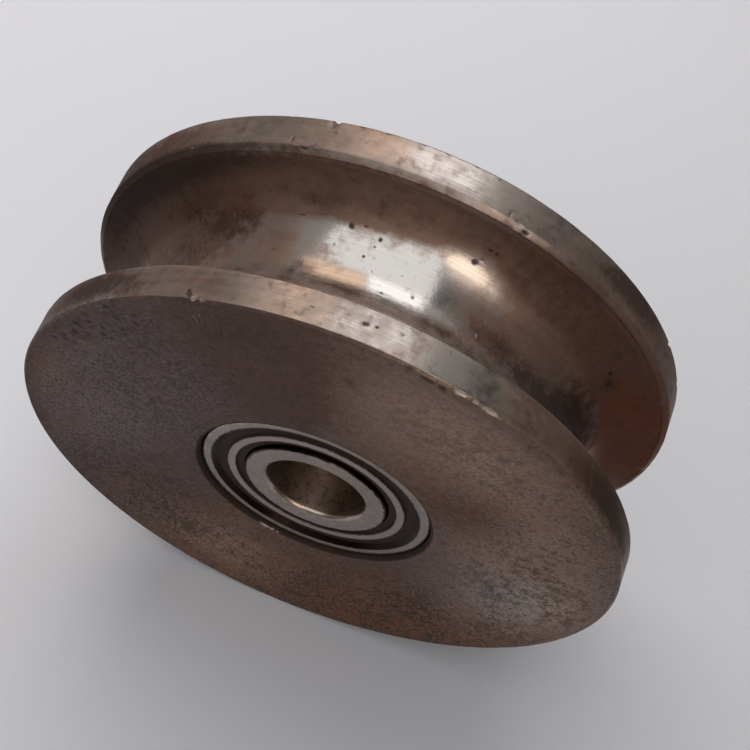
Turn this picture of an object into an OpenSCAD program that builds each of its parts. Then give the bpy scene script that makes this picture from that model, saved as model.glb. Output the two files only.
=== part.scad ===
// Sliding gate wheel: a turned steel wheel with a half-round rail groove.
// It runs on two shielded ball bearings, one pressed into each face.
// Millimetres, +Z up. The axle runs along Y, and the front face looks to -Y.

/* [Wheel body] */
// Outside diameter over the two rims
wheel_od = 120; // [105:1:160]
// Width across the two faces
wheel_w = 41.6; // [36:0.1:60]
// Radius of the half-round bottom of the rail groove
groove_r = 13; // [8:0.5:14]
// Straight flank between the groove's round bottom and its edge chamfer
groove_flank = 1; // [0.2:0.1:4]
// Chamfer where each rim meets the groove
groove_chamfer = 1; // [0.2:0.1:1.5]
// Chamfer where each rim meets the face
face_chamfer = 0.5; // [0.2:0.1:1.5]

/* [Bearing seats] */
// Depth of each bearing below the wheel's face
bearing_recess = 0.8; // [0.2:0.1:2]
// Chamfer at the mouth of each seat
seat_chamfer = 0.5; // [0.1:0.1:1]
// Height of the shoulder that each outer ring stands against
shoulder_h = 3; // [2.2:0.1:4]
// Radius of the relief turned into the corner of each seat
relief_r = 0.5; // [0.2:0.1:0.8]
// Radial gap between seat and outer ring
seat_gap = 0.01; // [0.005:0.005:0.03]

/* [Bearing rings] */
// Bore diameter, the size of the axle
bearing_bore = 20; // [19:0.5:22]
// Outside diameter
bearing_od = 47; // [44:0.5:52]
// Width of both rings
bearing_w = 14; // [13.5:0.5:16]
// Rounding of the rings' outer corners and of the bore's edges
ring_corner_r = 1; // [0.4:0.1:1.2]
// Small chamfer on the edges of the inner ring's land
land_chamfer = 0.3; // [0.1:0.1:0.6]
// Depth of each ball race below its land
race_depth = 1.6; // [1.2:0.1:2]
// Race radius as a share of the ball diameter
race_share = 0.52; // [0.51:0.005:0.54]

/* [Balls and cage] */
// Ball diameter
ball_d = 7.938; // [7:0.001:8.4]
// Balls in each bearing
ball_count = 8; // [6:1:8]
// Radial gap between a ball and each race
ball_gap = 0.02; // [0.01:0.01:0.05]
// Thickness of the cage's pressed sheet
cage_sheet = 0.8; // [0.5:0.1:0.9]
// Radial width of the cage's ribbon
cage_band_w = 3.2; // [2.4:0.1:3.8]
// Gap between a ball and its cage pocket
pocket_gap = 0.1; // [0.05:0.01:0.15]
// Shank diameter of a cage rivet
rivet_d = 1; // [0.8:0.1:1.2]
// Head diameter of a cage rivet
rivet_head_d = 1.8; // [1.5:0.1:2]
// Head height of a cage rivet
rivet_head_h = 0.5; // [0.3:0.05:0.6]
// Radial gap between a rivet and its hole
rivet_gap = 0.03; // [0.02:0.01:0.06]

/* [Shields] */
// Thickness of the shield's pressed sheet
shield_sheet = 0.4; // [0.3:0.05:0.5]
// Depth of the shield's flange below the ring's face
shield_sink = 0.9; // [0.8:0.05:1.05]
// Height of the raised rib above the flange
shield_rib_h = 0.5; // [0.2:0.05:0.6]
// Width of the raised rib's top
shield_rib_w = 1.6; // [1:0.1:2]
// Width of the sunk lip inside the rib
shield_lip_w = 1.4; // [0.8:0.1:1.8]
// Width of the slope on each side of the rib
shield_slope = 0.3; // [0.2:0.05:0.5]
// Radial gap between the shield's inner edge and the inner ring
shield_gap = 0.35; // [0.3:0.05:0.5]
// Height of the shield's seat above the outer ring's land
shield_seat_h = 1.45; // [1.2:0.05:1.6]
// Overhang that holds the shield in its seat
shield_hold = 0.3; // [0.1:0.05:0.5]
// Width of the bevel between that overhang and the ring's face
shield_bevel = 0.85; // [0.5:0.05:1]
// Gap between the shield and its seat
shield_seat_gap = 0.03; // [0.02:0.01:0.06]

/* [Spacer sleeve] */
// Wall thickness
sleeve_wall = 3.4; // [2:0.1:3.8]
// Radial gap between the sleeve and the axle
sleeve_gap = 0.25; // [0.1:0.05:0.5]
// Chamfer on the sleeve's outer edges
sleeve_chamfer = 0.4; // [0.1:0.1:1]

/* [Hidden] */
$fn = 96;
SIDES = ["front", "rear"];
PIECES = ["outer_ring", "inner_ring", "cage_outer_half", "cage_inner_half", "cage_rivets",
    "outer_shield", "inner_shield"];

over = 1;
rim_r = wheel_od / 2;
half_w = wheel_w / 2;
groove_centre_r = rim_r - groove_chamfer - groove_flank;
seat_r = bearing_od / 2 + seat_gap;
shoulder_r = seat_r - shoulder_h;
seat_z = half_w - bearing_recess - bearing_w;
bearing_z = seat_z + bearing_w / 2;

bore_r = bearing_bore / 2;
ring_r = bearing_od / 2;
ring_z = bearing_w / 2;
pitch_r = (bore_r + ring_r) / 2;
ball_r = ball_d / 2;
race_r = race_share * ball_d;
inner_race_r = pitch_r - ball_r - ball_gap;
outer_race_r = pitch_r + ball_r + ball_gap;
inner_land_r = inner_race_r + race_depth;
outer_land_r = outer_race_r - race_depth;

ball_step = 360 / ball_count;
pocket_r = ball_r + pocket_gap;
cup_r = pocket_r + cage_sheet;

flange_z = ring_z - shield_sink;
shield_seat_r = outer_land_r + shield_seat_h;
shield_r = shield_seat_r - shield_seat_gap;
shield_inner_r = inner_land_r + shield_gap;
rib_inner_r = shield_inner_r + shield_lip_w + shield_slope;
rib_outer_r = rib_inner_r + shield_rib_w;

sleeve_bore_r = bore_r + sleeve_gap;
sleeve_r = sleeve_bore_r + sleeve_wall;

// Turns a piece drawn around Z so that its axis is Y and its top is the front
module on_axle() {
    rotate([90, 0, 0])
        children();
}

// Puts a bearing piece into the seat of one face, with its top outwards
module in_seat(side) {
    on_axle()
        mirror([0, 0, side == "front" ? 0 : 1])
            translate([0, 0, bearing_z])
                children();
}

// Mirrors a section so that both of its ends get the same cut
module both_ends() {
    children();
    mirror([0, 1])
        children();
}

// What a rounding takes off an outer corner that lies at the origin
module corner_cut(r) {
    translate([-r, -r])
        difference() {
            square(2 * r);
            circle(r);
        }
}

// Rail groove section: a half-round with short flanks and chamfered edges
module groove_section() {
    mouth = groove_r + groove_chamfer;
    translate([groove_centre_r, 0])
        circle(groove_r);
    polygon([
        [groove_centre_r, -groove_r],
        [rim_r - groove_chamfer, -groove_r],
        [rim_r + over, -mouth - over],
        [rim_r + over, mouth + over],
        [rim_r - groove_chamfer, groove_r],
        [groove_centre_r, groove_r]
    ]);
}

// Wheel body: one turned blank, faced, grooved and bored with a seat in each face
module wheel_body() {
    color("#5a4a3e")
        on_axle()
            rotate_extrude()
                difference() {
                    polygon([
                        [shoulder_r, -seat_z],
                        [shoulder_r, seat_z],
                        [seat_r, seat_z],
                        [seat_r, half_w - seat_chamfer],
                        [seat_r + seat_chamfer, half_w],
                        [rim_r - face_chamfer, half_w],
                        [rim_r, half_w - face_chamfer],
                        [rim_r, face_chamfer - half_w],
                        [rim_r - face_chamfer, -half_w],
                        [seat_r + seat_chamfer, -half_w],
                        [seat_r, seat_chamfer - half_w],
                        [seat_r, -seat_z]
                    ]);
                    groove_section();
                    both_ends()
                        translate([seat_r, seat_z])
                            circle(relief_r);
                }
}

// Spacer sleeve: a plain tube that keeps the two inner rings apart on the axle
module spacer_sleeve() {
    color("#8c8a86")
        on_axle()
            rotate_extrude()
                polygon([
                    [sleeve_bore_r, -seat_z],
                    [sleeve_r - sleeve_chamfer, -seat_z],
                    [sleeve_r, sleeve_chamfer - seat_z],
                    [sleeve_r, seat_z - sleeve_chamfer],
                    [sleeve_r - sleeve_chamfer, seat_z],
                    [sleeve_bore_r, seat_z]
                ]);
}

// Outer ring: ground ring with a ball race and a shield seat near each face
module outer_ring() {
    hold_r = shield_seat_r - shield_hold;
    seat_top = flange_z + shield_seat_gap;
    seat_foot = flange_z - shield_sheet - shield_seat_gap;
    color("#a9a49c")
        rotate_extrude()
            difference() {
                translate([outer_land_r, -ring_z])
                    square([ring_r - outer_land_r, bearing_w]);
                translate([outer_race_r - race_r, 0])
                    circle(race_r);
                both_ends() {
                    polygon([
                        [outer_land_r - over, seat_foot],
                        [shield_seat_r, seat_foot],
                        [shield_seat_r, seat_top],
                        [hold_r, seat_top],
                        [hold_r + shield_bevel, ring_z],
                        [hold_r + shield_bevel, ring_z + over],
                        [outer_land_r - over, ring_z + over]
                    ]);
                    translate([ring_r, ring_z])
                        corner_cut(ring_corner_r);
                }
            }
}

// Inner ring: ground ring with the axle's bore and a ball race
module inner_ring() {
    color("#b3aea6")
        rotate_extrude()
            difference() {
                translate([bore_r, -ring_z])
                    square([inner_land_r - bore_r, bearing_w]);
                translate([inner_race_r + race_r, 0])
                    circle(race_r);
                both_ends() {
                    translate([bore_r, ring_z])
                        mirror([1, 0])
                            corner_cut(ring_corner_r);
                    polygon([
                        [inner_land_r - land_chamfer - over, ring_z + over],
                        [inner_land_r + over, ring_z - land_chamfer - over],
                        [inner_land_r + over, ring_z + over]
                    ]);
                }
            }
}

// One bearing ball at its place on the pitch circle
module ball(i) {
    color("#c9ccd0")
        rotate([0, 0, (i - 1) * ball_step])
            translate([pitch_r, 0, 0])
                sphere(ball_r);
}

// Cage half: a pressed ribbon with one round pocket for each ball and flat lands between
module cage_half() {
    color("#9a9184")
        difference() {
            intersection() {
                union() {
                    translate([0, 0, -over])
                        cylinder(h = cage_sheet + over, r = pitch_r + cage_band_w);
                    for (i = [1 : ball_count])
                        rotate([0, 0, (i - 1) * ball_step])
                            translate([pitch_r, 0, 0])
                                sphere(cup_r);
                }
                difference() {
                    cylinder(h = cup_r + over, r = pitch_r + cage_band_w / 2);
                    translate([0, 0, -over])
                        cylinder(h = cup_r + 3 * over, r = pitch_r - cage_band_w / 2);
                }
            }
            for (i = [1 : ball_count])
                rotate([0, 0, (i - 1) * ball_step])
                    translate([pitch_r, 0, 0]) {
                        sphere(pocket_r);
                    }
            for (i = [1 : ball_count])
                rotate([0, 0, (i - 0.5) * ball_step])
                    translate([pitch_r, 0, -over])
                        cylinder(h = cage_sheet + 2 * over, r = rivet_d / 2 + rivet_gap);
        }
}

// Cage rivets: one through each pair of lands, with a low round head at both ends
module cage_rivets() {
    head_r = rivet_head_d / 2;
    dome_r = (head_r * head_r + rivet_head_h * rivet_head_h) / (2 * rivet_head_h);
    color("#b0aaa0")
        for (i = [1 : ball_count])
            rotate([0, 0, (i - 0.5) * ball_step])
                translate([pitch_r, 0, 0])
                    rotate_extrude() {
                        translate([0, -cage_sheet])
                            square([rivet_d / 2, 2 * cage_sheet]);
                        both_ends()
                            intersection() {
                                translate([0, cage_sheet + rivet_head_h - dome_r])
                                    circle(dome_r);
                                translate([0, cage_sheet])
                                    square([head_r + over, rivet_head_h + over]);
                            }
                    }
}

// Shield: pressed sheet ring with a raised rib, held in its seat in the outer ring
module shield() {
    lip_r = rib_inner_r - shield_slope;
    flange_r = rib_outer_r + shield_slope;
    rib_z = flange_z + shield_rib_h;
    color("#8f877b")
        rotate_extrude()
            polygon([
                [shield_inner_r, flange_z],
                [lip_r, flange_z],
                [rib_inner_r, rib_z],
                [rib_outer_r, rib_z],
                [flange_r, flange_z],
                [shield_r, flange_z],
                [shield_r, flange_z - shield_sheet],
                [flange_r, flange_z - shield_sheet],
                [rib_outer_r, rib_z - shield_sheet],
                [rib_inner_r, rib_z - shield_sheet],
                [lip_r, flange_z - shield_sheet],
                [shield_inner_r, flange_z - shield_sheet]
            ]);
}

wheel_body();
spacer_sleeve();
for (side = SIDES) {
    in_seat(side) outer_ring();
    in_seat(side) inner_ring();
    in_seat(side) cage_half();
    in_seat(side) mirror([0, 0, 1]) cage_half();
    in_seat(side) cage_rivets();
    in_seat(side) shield();
    in_seat(side) mirror([0, 0, 1]) shield();
    for (i = [1 : ball_count])
        in_seat(side) ball(i);
}
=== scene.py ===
import math
import bpy
import bmesh
import numpy as np
from mathutils import Matrix, Vector, kdtree, noise


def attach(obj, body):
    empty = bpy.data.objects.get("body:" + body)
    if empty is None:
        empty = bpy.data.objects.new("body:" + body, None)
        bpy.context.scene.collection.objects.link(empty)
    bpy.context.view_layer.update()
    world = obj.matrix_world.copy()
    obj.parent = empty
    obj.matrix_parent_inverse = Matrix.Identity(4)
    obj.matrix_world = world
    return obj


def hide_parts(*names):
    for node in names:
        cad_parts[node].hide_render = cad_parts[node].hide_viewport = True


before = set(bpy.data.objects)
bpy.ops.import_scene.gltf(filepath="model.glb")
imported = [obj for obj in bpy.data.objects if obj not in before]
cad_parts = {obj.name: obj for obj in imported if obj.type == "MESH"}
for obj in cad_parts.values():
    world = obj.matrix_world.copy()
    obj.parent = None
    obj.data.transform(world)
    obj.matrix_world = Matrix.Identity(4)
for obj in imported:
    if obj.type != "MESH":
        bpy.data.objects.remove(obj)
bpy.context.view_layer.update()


# Wheel body: one turned steel blank, faced, grooved for a round rail and bored at both ends.
# Oil and damp have browned it all over, the rail keeps the groove's bottom bright,
# and knocks from handling have nicked its rims and edges.
rim_r = 0.060
half_w = 0.0208
face_chamfer = 0.0005
groove_r = 0.013
groove_chamfer = 0.001
groove_flank = 0.001
groove_centre_r = rim_r - groove_chamfer - groove_flank
seat_r = 0.02351
seat_floor = 0.0060
seat_chamfer = 0.0005
shoulder_r = 0.02051
edge_round = 0.00018
seat_edge_round = 0.0001
round_support = 0.00012
groove_steps = 48
steps_round = 360
lathe_path_r = 0.02
rim_step, face_step, plain_step = 0.0009, 0.0013, 0.0030


def softened(corners, turns=2):
    """A closed section in (radius, along) with each corner turned into a small arc of its own radius."""
    path = []
    for i, (r, y, soft) in enumerate(corners):
        here = Vector((r, y))
        before = Vector(corners[i - 1][:2])
        after = Vector(corners[(i + 1) % len(corners)][:2])
        if soft == 0:
            path.append(here)
            continue
        u, v = (before - here).normalized(), (after - here).normalized()
        reach = soft / math.tan(u.angle(v) / 2)
        start, end = here + u * reach, here + v * reach
        support = min(0.6 * reach, round_support)
        path.append(start + u * support)
        for k in range(turns + 1):
            t = k / turns
            path.append(start * (1 - t) ** 2 + here * 2 * t * (1 - t) + end * t ** 2)
        path.append(end + v * support)
    return path


def filled_in(path, step_at):
    """The same path with points added so that no step is longer than step_at says for its place."""
    full = []
    for a, b in zip(path, path[1:] + path[:1]):
        steps = max(1, math.ceil((b - a).length / step_at((a + b) / 2)))
        full += [a.lerp(b, k / steps) for k in range(steps)]
    return full


front_half = [
    (shoulder_r, -seat_floor, 0), (seat_r, -seat_floor, 0),
    (seat_r, seat_chamfer - half_w, seat_edge_round), (seat_r + seat_chamfer, -half_w, seat_edge_round),
    (rim_r - face_chamfer, -half_w, edge_round), (rim_r, face_chamfer - half_w, edge_round),
    (rim_r, -groove_r - groove_chamfer, edge_round), (rim_r - groove_chamfer, -groove_r, edge_round)]
groove_arc = [(groove_centre_r - groove_r * math.cos(a), groove_r * math.sin(a), 0)
              for a in np.radians(np.linspace(-90, 90, groove_steps + 1))]
back_half = [(r, -y, soft) for r, y, soft in reversed(front_half)]


def wheel_step(p):
    """Short steps on the rims, which carry the most knocks, and longer ones on the front face and elsewhere."""
    if p.x > 0.0585:
        return rim_step
    return face_step if p.y < -0.02 and p.x > 0.045 else plain_step


wheel_section = filled_in(softened(front_half + groove_arc + back_half), wheel_step)


def turned_on_axle():
    """A tree that turns a closed section, drawn as (radius, along, 0), around the axle Y."""
    tree = bpy.data.node_groups.new("turned_on_axle", "GeometryNodeTree")
    for name, way, kind in (
            ("Section", "INPUT", "NodeSocketGeometry"), ("Segments", "INPUT", "NodeSocketInt"),
            ("Path Radius", "INPUT", "NodeSocketFloat"), ("Finish", "INPUT", "NodeSocketMaterial"),
            ("Turned", "OUTPUT", "NodeSocketGeometry")):
        tree.interface.new_socket(name, in_out=way, socket_type=kind)
    given = tree.nodes.new("NodeGroupInput")
    result = tree.nodes.new("NodeGroupOutput")
    inward = tree.nodes.new("ShaderNodeCombineXYZ")
    minus = tree.nodes.new("ShaderNodeMath")
    minus.operation = "MULTIPLY"
    minus.inputs[1].default_value = -1.0
    shifted = tree.nodes.new("GeometryNodeTransform")
    section = tree.nodes.new("GeometryNodeMeshToCurve")
    path = tree.nodes.new("GeometryNodeCurvePrimitiveCircle")
    swept = tree.nodes.new("GeometryNodeCurveToMesh")
    upright = tree.nodes.new("GeometryNodeTransform")
    upright.inputs["Rotation"].default_value = (math.pi / 2, 0, 0)
    smooth = tree.nodes.new("GeometryNodeSetShadeSmooth")
    real = tree.nodes.new("GeometryNodeRealizeInstances")
    coat = tree.nodes.new("GeometryNodeSetMaterial")
    link = tree.links.new
    link(given.outputs["Path Radius"], minus.inputs[0])
    link(minus.outputs[0], inward.inputs["X"])
    link(given.outputs["Section"], shifted.inputs["Geometry"])
    link(inward.outputs[0], shifted.inputs["Translation"])
    link(shifted.outputs[0], section.inputs["Mesh"])
    link(given.outputs["Segments"], path.inputs["Resolution"])
    link(given.outputs["Path Radius"], path.inputs["Radius"])
    link(path.outputs["Curve"], swept.inputs["Curve"])
    link(section.outputs["Curve"], swept.inputs["Profile Curve"])
    link(swept.outputs["Mesh"], upright.inputs["Geometry"])
    link(upright.outputs[0], smooth.inputs["Geometry"])
    link(smooth.outputs[0], real.inputs["Geometry"])
    link(real.outputs[0], coat.inputs["Geometry"])
    link(given.outputs["Finish"], coat.inputs["Material"])
    link(coat.outputs[0], result.inputs["Turned"])
    return tree


def turn(name, section, segments, material):
    """A plain mesh object, turned from its section, at the origin."""
    mesh = bpy.data.meshes.new(name)
    count = len(section)
    mesh.from_pydata([(p.x, p.y, 0) for p in section], [(i, (i + 1) % count) for i in range(count)], [])
    piece = bpy.data.objects.new(name, mesh)
    bpy.context.scene.collection.objects.link(piece)
    lathe = piece.modifiers.new("lathe", "NODES")
    lathe.node_group = bpy.data.node_groups.get("turned_on_axle") or turned_on_axle()
    key = {item.name: item.identifier for item in lathe.node_group.interface.items_tree}
    lathe[key["Segments"]] = segments
    lathe[key["Path Radius"]] = lathe_path_r
    lathe[key["Finish"]] = material
    done = bpy.data.meshes.new_from_object(piece.evaluated_get(bpy.context.evaluated_depsgraph_get()))
    piece.modifiers.remove(lathe)
    piece.data = done
    done.name = name
    return piece


wheel_steel = bpy.data.materials.new("wheel_steel")
wheel = turn("turned_wheel", wheel_section, steps_round, wheel_steel)

# Knocks and casting pits: angle round the wheel in degrees (0 to the right, 90 on top), then in
# millimetres the radius, the place along the axle, half the length round the wheel, half the
# length across and the depth, then the lean in degrees, the dirt in it, which is also painted shade
# in the hollow, and the bare metal on it, which on the front edge near 69 to 75 degrees and on the
# seat edge near -106 to -100 degrees is also a painted glint.
knocks = [
    (110.5, 60.0, 20.3, 0.85, 1.7, 0.60, -20, 0.5, 0.12), (106.0, 60.0, 20.7, 0.5, 0.5, 0.25, 0, 0.8, 0),
    (104.2, 60.0, 20.7, 0.4, 0.4, 0.18, 0, 0.6, 0), (101.5, 60.0, 20.7, 0.7, 0.5, 0.30, 0, 0.9, 0),
    (95.2, 60.0, 20.7, 0.4, 0.4, 0.15, 0, 0.6, 0), (91.0, 60.0, 20.7, 0.6, 0.4, 0.25, 0, 0.8, 0),
    (89.0, 60.0, 20.7, 0.5, 0.4, 0.22, 0, 0.8, 0), (85.8, 60.0, 20.7, 0.6, 0.4, 0.20, 0, 0.7, 0),
    (116.5, 60.0, 15.2, 0.3, 0.8, 0.18, 10, 0.9, 0), (133.3, 60.0, 14.6, 0.5, 0.5, 0.20, 0, 0.8, 0),
    (113.9, 59.6, 13.7, 0.9, 0.4, 0.25, 0, 0.8, 0), (78.0, 60.0, 14.7, 0.28, 0.28, 0.18, 0, 1.0, 0),
    (74.3, 59.4, 13.4, 0.9, 0.4, 0.20, 0, 0.9, 0), (75.8, 59.9, 14.1, 1.0, 0.3, 0.06, 0, 0, 0.5),
    (33.5, 60.0, 20.4, 0.9, 1.2, 0.50, 0, 0.3, 0), (21.5, 60.0, 20.4, 0.8, 0.9, 0.30, 0, 0.3, 0),
    (104.4, 47.9, 8.2, 0.60, 0.58, 0.30, 0, 1.0, 0), (101.2, 48.3, 8.6, 0.45, 0.35, 0.10, 0, 0.5, 0),
    (97.6, 47.4, 7.5, 0.45, 0.42, 0.20, 0, 0.9, 0), (98.3, 46.6, 6.2, 0.3, 0.25, 0.08, 0, 0.6, 0),
    (99.9, 45.7, 4.3, 0.35, 0.33, 0.20, 0, 1.0, 0), (107.2, 46.0, 4.9, 0.45, 0.3, 0.06, 0, 0.45, 0),
    (97.1, 45.2, 2.3, 0.4, 0.3, 0.08, 0, 0.5, 0), (86.4, 45.0, 0.5, 0.4, 0.3, 0.10, 0, 0.8, 0),
    (93.2, 45.0, -1.0, 0.5, 0.22, 0.07, 0, 0.6, 0), (90.4, 45.4, 3.4, 0.5, 0.25, 0.08, 0, 0.6, 0),
    (77.9, 49.5, 9.8, 0.58, 0.5, 0.28, 0, 1.0, 0), (76.7, 52.3, 11.7, 0.45, 0.4, 0.22, 0, 1.0, 0),
    (75.3, 52.3, 11.7, 0.4, 0.35, 0.20, 0, 0.9, 0), (76.9, 50.4, 10.5, 0.3, 0.3, 0.12, 0, 0.7, 0),
    (115.5, 48.1, 8.4, 1.1, 0.22, 0.10, 0, 0.9, 0), (120.7, 45.2, 2.4, 0.9, 0.22, 0.08, 0, 0.8, 0),
    (70.0, 45.0, 0.0, 0.25, 0.6, 0.08, 0, 0, 1.0), (33.0, 50.6, 10.7, 1.0, 1.2, 0.15, 30, 0.9, 0),
    (36.0, 51.5, 11.3, 0.9, 0.6, 0.12, 0, 0.8, 0), (121.2, 60.0, -19.4, 0.7, 1.3, 0.26, 38, 1.0, 0),
    (119.9, 59.9, -20.3, 0.8, 0.6, 0.16, 35, 0, 0.75), (118.4, 59.9, -20.5, 0.9, 0.4, 0.10, -10, 0, 0.5),
    (92.4, 60.0, -16.9, 0.75, 0.45, 0.20, 15, 1.0, 0), (90.7, 60.0, -16.7, 0.5, 0.35, 0.15, 0, 0.9, 0),
    (86.5, 60.0, -16.1, 0.45, 0.3, 0.12, 0, 0.8, 0), (101.0, 60.0, -17.2, 0.5, 0.22, 0.08, 0, 0.7, 0),
    (83.6, 59.2, -20.8, 0.7, 0.6, 0.28, 0, 0.7, 0), (80.3, 58.5, -20.8, 1.8, 0.7, 0.22, 0, 1.0, 0),
    (77.6, 58.9, -20.8, 1.2, 0.6, 0.20, 0, 0.9, 0), (74.9, 59.75, -20.55, 1.5, 0.56, 0.22, 0, 0, 0.72),
    (69.3, 59.75, -20.55, 2.2, 0.54, 0.20, 0, 0, 0.72), (72.0, 59.75, -20.55, 0.9, 0.42, 0.14, 0, 0, 0.6),
    (59.3, 58.0, -20.8, 0.3, 1.8, 0.12, 35, 0.8, 0), (-106.5, 23.95, -20.7, 1.3, 0.28, 0.10, 0, 0, 1.0),
    (-102.4, 23.95, -20.7, 0.7, 0.25, 0.08, 0, 0, 0.9), (-99.6, 23.95, -20.7, 0.4, 0.22, 0.08, 0, 0, 0.8),
    (162.0, 36.0, -20.8, 1.2, 0.9, 0.08, 20, 0.6, 0), (150.5, 57.2, -20.8, 1.2, 0.5, 0.14, 10, 0.9, 0),
    (153.5, 55.8, -20.8, 1.0, 0.5, 0.12, -15, 0.9, 0), (147.0, 56.6, -20.8, 0.9, 0.45, 0.12, 15, 0.8, 0),
    (157.0, 56.6, -20.8, 1.1, 0.45, 0.12, 0, 0.8, 0), (143.0, 54.0, -20.8, 0.8, 0.5, 0.10, 0, 0.7, 0),
    (139.5, 55.2, -20.8, 0.7, 0.4, 0.10, 20, 0.7, 0)]
# Rows of small casting pits that the facing cut didn't clean up, at the upper left of the front face.
pit_pick = np.random.default_rng(11)
for row_r in (58.4, 57.2, 55.9, 54.5, 53.0, 51.2):
    for row_angle in np.arange(136, 161, 2.1):
        knocks.append((row_angle + pit_pick.uniform(-1.1, 1.1), row_r + pit_pick.uniform(-0.4, 0.4), -20.8,
                       pit_pick.uniform(0.40, 1.05), pit_pick.uniform(0.24, 0.42), pit_pick.uniform(0.05, 0.11),
                       pit_pick.uniform(-18, 18), pit_pick.uniform(0.40, 0.85), 0))
# Long scratches on the front face: start and end as angle and radius, half the width and the depth.
scratch_steps = 12
scratches = [((119.9, 58.8), (121.5, 51.5), 0.30, 0.10), ((121.6, 57.0), (121.9, 52.5), 0.15, 0.06),
             ((117.5, 57.5), (117.0, 50.0), 0.12, 0.04), ((171.0, 41.0), (158.0, 44.0), 0.12, 0.03)]


def at_angle(angle, radius, along):
    """A point by its angle in degrees, radius and place along the axle in millimetres."""
    a = math.radians(angle)
    return Vector((radius * math.cos(a), along, radius * math.sin(a))) / 1000


# The mesh is made finer round each knock, pit and scratch, and then pushed in there.
fine_cuts = 3
knock_margin = 0.0006
scratch_margin = 0.0011
grit_per_metre = 2600
form = bmesh.new()
form.from_mesh(wheel.data)
bmesh.ops.remove_doubles(form, verts=form.verts, dist=1e-7)
bmesh.ops.recalc_face_normals(form, faces=form.faces)
form.verts.ensure_lookup_table()
form.faces.ensure_lookup_table()
face_finder = kdtree.KDTree(len(form.faces))
for f in form.faces:
    face_finder.insert(f.calc_center_median(), f.index)
face_finder.balance()
vert_finder = kdtree.KDTree(len(form.verts))
for v in form.verts:
    vert_finder.insert(v.co, v.index)
vert_finder.balance()
form.normal_update()
placed, finer = [], set()
for angle, radius, along, length, across, depth, lean, dirt, bare_and_glint in knocks:
    centre = at_angle(angle, radius, along)
    nearest = vert_finder.find(centre)
    out = form.verts[nearest[1]].normal.copy()
    centre -= out * (centre - nearest[0]).dot(out)
    placed.append((centre, out, length / 1000, across / 1000, depth / 1000, math.radians(lean), dirt, bare_and_glint))
    finer |= {i for _, i, _ in face_finder.find_range(centre, 1.3 * max(length, across) / 1000 + knock_margin)}
for (a0, r0), (a1, r1), *_ in scratches:
    for k in range(scratch_steps + 1):
        p = at_angle(a0, r0, -half_w * 1000).lerp(at_angle(a1, r1, -half_w * 1000), k / scratch_steps)
        finer |= {i for _, i, _ in face_finder.find_range(p, scratch_margin)}
fine_edges = list(dict.fromkeys(e for i in sorted(finer) for e in form.faces[i].edges))
bmesh.ops.subdivide_edges(form, edges=fine_edges, cuts=fine_cuts, use_grid_fill=True)
form.verts.ensure_lookup_table()
count = len(form.verts)
place = np.array([v.co for v in form.verts])
grit = np.array([noise.noise(v.co * grit_per_metre) for v in form.verts])
dirt_and_shade_in = np.zeros(count)
bare_and_glint_on = np.zeros(count)
move = np.zeros((count, 3))
for centre, out, length, across, depth, lean, dirt, bare_and_glint in placed:
    near = np.flatnonzero(np.abs(place - centre).max(axis=1) < 1.5 * max(length, across))
    offset = place[near] - np.array(centre)
    along_turn = Vector((-centre.z, 0, centre.x)).normalized()
    sideways = out.cross(along_turn).normalized()
    u, v = offset @ np.array(along_turn), offset @ np.array(sideways)
    u, v = u * math.cos(lean) + v * math.sin(lean), v * math.cos(lean) - u * math.sin(lean)
    hollow = np.clip(1 - np.sqrt((u / length) ** 2 + (v / across) ** 2) * (1 + 0.35 * grit[near]), 0, 1)
    hollow = hollow ** 0.75
    move[near] -= np.array(out) * (depth * hollow * (1 + 0.3 * grit[near]))[:, None]
    # Dirt darkens each hollow, together with painted shade there.
    dirt_and_shade_in[near] = np.maximum(dirt_and_shade_in[near], dirt * np.clip(hollow * 1.6, 0, 1))
    # Bare steel lightens the chips; on the front edge and the seat edge this is also a painted glint.
    bare_and_glint_on[near] = np.maximum(bare_and_glint_on[near], bare_and_glint * np.clip(hollow * 1.8, 0, 1))
for (a0, r0), (a1, r1), width, depth in scratches:
    a, b = np.array(at_angle(a0, r0, -half_w * 1000)), np.array(at_angle(a1, r1, -half_w * 1000))
    run = np.clip(((place - a) @ (b - a)) / ((b - a) @ (b - a)), 0, 1)
    gap = np.linalg.norm(place - a - run[:, None] * (b - a), axis=1) * 1000
    cut = np.clip(1 - gap / width * (1 + 0.4 * grit), 0, 1) * np.minimum(1, 6 * run * (1 - run) + 0.25)
    move[:, 1] += depth / 1000 * cut
    bare_and_glint_on = np.maximum(bare_and_glint_on, 0.5 * cut)

# Every sharp edge of a wheel that has been dropped and rolled on concrete is a little uneven.
edge_reach = 0.0009
edge_wear = 0.00016
waves_per_metre, ripples_per_metre = 260, 900
radius = np.hypot(place[:, 0], place[:, 2])
along = place[:, 1]
for edge_radius, edge_along, lean_out in (
        (rim_r, -half_w, (0.7, -0.7)), (rim_r, half_w, (0.7, 0.7)),
        (rim_r, -groove_r - groove_chamfer, (0.9, 0.4)), (rim_r, groove_r + groove_chamfer, (0.9, -0.4)),
        (rim_r - groove_chamfer, -groove_r, (0.4, 0.9)), (rim_r - groove_chamfer, groove_r, (0.4, -0.9))):
    near = np.flatnonzero(np.hypot(radius - edge_radius, along - edge_along) < edge_reach)
    close = 1 - np.hypot(radius[near] - edge_radius, along[near] - edge_along) / edge_reach
    rough = np.array([
        max(0, noise.noise(Vector(place[i]) * waves_per_metre)
            + 0.5 * noise.noise(Vector(place[i]) * ripples_per_metre))
        for i in near])
    way = np.stack([place[near, 0] / radius[near] * lean_out[0], np.full(len(near), lean_out[1]),
                    place[near, 2] / radius[near] * lean_out[0]], 1)
    move[near] -= way * (edge_wear * close * rough ** 1.5)[:, None]
for v, shift in zip(form.verts, move):
    v.co += Vector(shift)
form.to_mesh(wheel.data)
form.free()
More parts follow.
